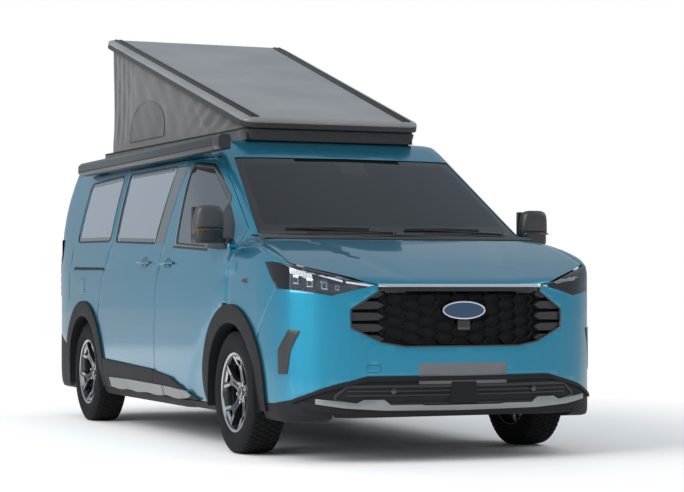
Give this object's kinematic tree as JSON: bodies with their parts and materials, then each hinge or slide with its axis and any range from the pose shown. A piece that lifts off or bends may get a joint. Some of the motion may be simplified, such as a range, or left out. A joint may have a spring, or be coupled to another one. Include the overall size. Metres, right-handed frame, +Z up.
{
  "type": "camper van with lifting roof",
  "caption": "Camper van with a lifting canvas-sided roof, roof-edge awning cassette, opening doors, bonnet and tailgate, and steered front wheels.",
  "frame": {"origin": "on the ground, in the middle of the overall length and width", "axes": "+Z up, the front faces -Y, the van's left side is +X"},
  "size_m": [2.274, 5.032, 2.7589],
  "materials": {
    "paint": "metallic gloss",
    "roof_paint": "satin",
    "black_trim": "textured",
    "gloss_black": "gloss",
    "lamp": "clear",
    "red_lamp": "clear",
    "glass": "tinted",
    "structure": "satin",
    "steel": "plain",
    "iron": "plain",
    "tyre": "matt",
    "rim": "machined",
    "awning": "satin",
    "canvas": "woven",
    "seat": "woven",
    "furniture": "laminate",
    "dash": "grained"
  },
  "bodies": {
    "body": {"body_side_left": "paint", "body_side_right": "paint", "sliding_door_left": "paint", "sliding_door_right": "paint", "side_glass": "glass", "roof_panel": "paint", "roof_frame": "black_trim", "roof_canvas": "canvas", "awning_cassette": "awning", "windscreen": "glass", "headlamps": "lamp", "grille": "gloss_black", "front_bumper": "paint", "front_bumper_lower": "black_trim", "front_fenders": "paint", "firewall": "structure", "front_structure": "structure", "tail_lamps": "red_lamp", "rear_bumper": "black_trim", "floor_pan": "structure", "wheel_liners": "black_trim", "front_subframe": "structure", "rear_axle": "structure", "engine_block": "iron", "body_cladding": "black_trim", "dashboard": "dash", "front_seats": "seat", "cabin_furniture": "furniture"},
    "front_door_left_body": {"front_door_left": "paint", "front_door_glass_left": "glass", "door_mirror_left": "gloss_black"},
    "knuckle_left": {"front_knuckle_left": "steel"},
    "front_door_right_body": {"front_door_right": "paint", "front_door_glass_right": "glass", "door_mirror_right": "gloss_black"},
    "knuckle_right": {"front_knuckle_right": "steel"},
    "bonnet_body": {"bonnet": "paint"},
    "tailgate_body": {"tailgate": "paint", "tailgate_glass": "glass"},
    "roof_shell_body": {"roof_shell": "roof_paint"},
    "steering_wheel_body": {"steering_wheel": "dash"},
    "wheel_front_left": {"tyre_front_left": "tyre", "rim_front_left": "rim"},
    "wheel_front_right": {"tyre_front_right": "tyre", "rim_front_right": "rim"},
    "wheel_rear_left": {"tyre_rear_left": "tyre", "rim_rear_left": "rim"},
    "wheel_rear_right": {"tyre_rear_right": "tyre", "rim_rear_right": "rim"}
  },
  "joints": [
    {"name": "front_door_left_hinge", "type": "hinge", "parent": "body", "child": "front_door_left_body", "pos_m": [0.96, -1.425, 1.05], "axis": [0, 0, -1], "range_deg": [0, 53]},
    {"name": "front_door_right_hinge", "type": "hinge", "parent": "body", "child": "front_door_right_body", "pos_m": [-0.96, -1.425, 1.05], "axis": [0, 0, 1], "range_deg": [0, 53]},
    {"name": "bonnet_hinge", "type": "hinge", "parent": "body", "child": "bonnet_body", "pos_m": [0, -1.72, 1.185], "axis": [-1, 0, 0], "range_deg": [0, 50]},
    {"name": "tailgate_hinge", "type": "hinge", "parent": "body", "child": "tailgate_body", "pos_m": [0, 2.33, 1.8], "axis": [1, 0, 0], "range_deg": [0, 74]},
    {"name": "roof_hinge", "type": "hinge", "parent": "body", "child": "roof_shell_body", "pos_m": [0, -0.6, 1.95], "axis": [1, 0, 0], "range_deg": [-16.2, 0], "deforming": ["roof_canvas"]},
    {"name": "steering_left", "type": "hinge", "parent": "body", "child": "knuckle_left", "pos_m": [0.8, -1.525, 0.345], "axis": [0, 0, 1], "range_deg": [-32, 32]},
    {"name": "steering_right", "type": "hinge", "parent": "body", "child": "knuckle_right", "pos_m": [-0.8, -1.525, 0.345], "axis": [0, 0, 1], "range_deg": [-32, 32]},
    {"name": "steering_wheel_turn", "type": "hinge", "parent": "body", "child": "steering_wheel_body", "pos_m": [0.43, -0.96, 1.065], "axis": [0, 0.6428, 0.766], "range_deg": [-450, 450]},
    {"name": "wheel_front_left_spin", "type": "hinge", "parent": "knuckle_left", "child": "wheel_front_left", "pos_m": [0.868, -1.525, 0.345], "axis": [1, 0, 0], "continuous": true},
    {"name": "wheel_front_right_spin", "type": "hinge", "parent": "knuckle_right", "child": "wheel_front_right", "pos_m": [-0.868, -1.525, 0.345], "axis": [1, 0, 0], "continuous": true},
    {"name": "wheel_rear_left_spin", "type": "hinge", "parent": "body", "child": "wheel_rear_left", "pos_m": [0.868, 1.575, 0.345], "axis": [1, 0, 0], "continuous": true},
    {"name": "wheel_rear_right_spin", "type": "hinge", "parent": "body", "child": "wheel_rear_right", "pos_m": [-0.868, 1.575, 0.345], "axis": [1, 0, 0], "continuous": true}
  ],
  "couplings": [
    {"joint": "steering_right", "follows": "steering_left", "ratio": 1},
    {"joint": "steering_wheel_turn", "follows": "steering_left", "ratio": 14}
  ]
}
